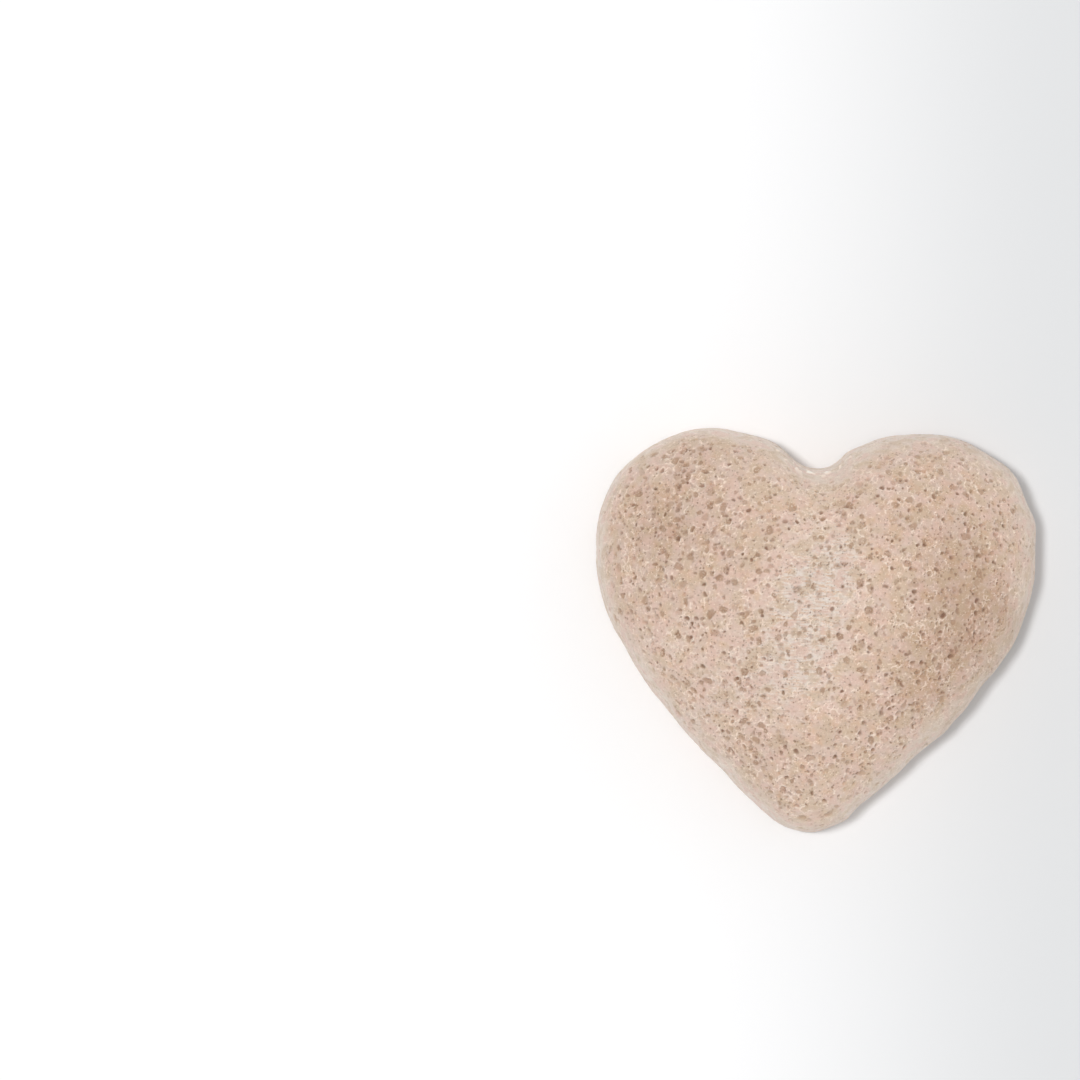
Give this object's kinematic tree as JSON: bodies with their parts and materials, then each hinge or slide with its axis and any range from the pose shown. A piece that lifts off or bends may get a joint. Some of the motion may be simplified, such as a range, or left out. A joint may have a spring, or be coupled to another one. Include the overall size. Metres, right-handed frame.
{
  "type": "konjac sponge",
  "caption": "Heart-shaped facial cleansing sponge of open-cell konjac foam, with a domed front for the skin and a flat back for the hand.",
  "frame": {"origin": "middle of the flat back face, under the middle of the heart's width and height", "axes": "+Z out of the domed front, +X across the lobes towards the lower lobe, +Y from the tip towards the notch"},
  "size_m": [0.08, 0.073, 0.027],
  "materials": {
    "konjac_foam": "matte, open-cell, slightly translucent foam, beige-pink from its clay"
  },
  "bodies": {
    "root": {"sponge_body": "konjac_foam"}
  },
  "joints": []
}
